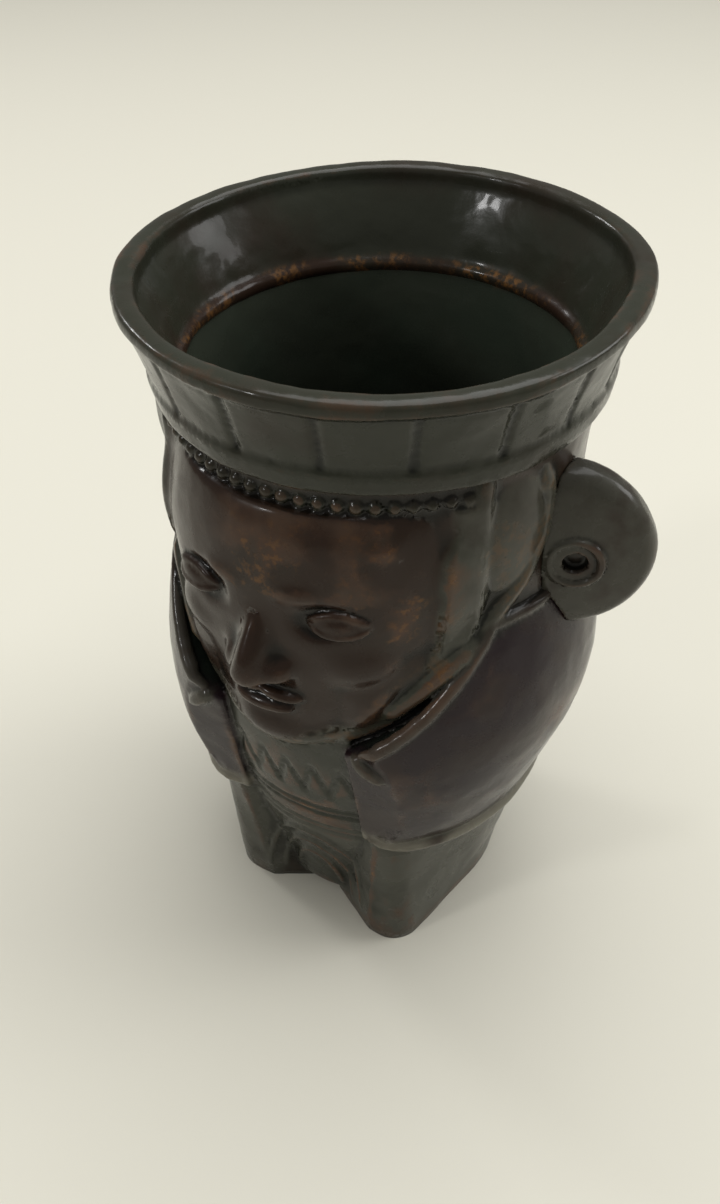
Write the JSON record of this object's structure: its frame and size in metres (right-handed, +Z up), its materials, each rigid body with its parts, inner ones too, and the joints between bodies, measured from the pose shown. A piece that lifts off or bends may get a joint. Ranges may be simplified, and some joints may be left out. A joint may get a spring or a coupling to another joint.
{
  "type": "figural ceramic portrait vessel",
  "caption": "Dark glazed ceramic cup shaped as a cloaked figure's head and shoulders, with a flared crown rim, round ear spools and a hollow inside for drink or small items.",
  "frame": {"origin": "centre of the cup's axis on the floor plane under the foot", "axes": "+Z up along the cup's axis, the figure faces -Y, its left side is +X"},
  "size_m": [0.1118, 0.0996, 0.15],
  "materials": {
    "glaze_body": "glossy dark glaze that breaks amber on edges",
    "glaze_crown": "glossy dark glaze that breaks amber on edges",
    "glaze_face": "glossy dark glaze that breaks amber on edges",
    "glaze_cloak": "glossy dark glaze that breaks amber on edges",
    "glaze_tunic": "glossy dark glaze that breaks amber on edges",
    "glaze_spool": "glossy dark glaze that breaks amber on edges"
  },
  "bodies": {
    "root": {"foot_slab": "glaze_body", "front_wall": "glaze_body", "rear_wall": "glaze_body", "crown_collar": "glaze_body", "rim_coil": "glaze_crown", "headband": "glaze_crown", "crown_panels": "glaze_crown", "fringe_beads": "glaze_crown", "face_mask": "glaze_face", "face_band": "glaze_face", "nose": "glaze_face", "left_eye": "glaze_face", "right_eye": "glaze_face", "left_brow": "glaze_face", "right_brow": "glaze_face", "upper_lip": "glaze_face", "lower_lip": "glaze_face", "left_cloak": "glaze_cloak", "right_cloak": "glaze_cloak", "tunic_panel": "glaze_tunic", "left_knee": "glaze_tunic", "right_knee": "glaze_tunic", "left_robe": "glaze_tunic", "right_robe": "glaze_tunic", "left_ear_spool": "glaze_spool", "right_ear_spool": "glaze_spool", "left_ear_stem": "glaze_spool", "right_ear_stem": "glaze_spool"}
  },
  "joints": []
}
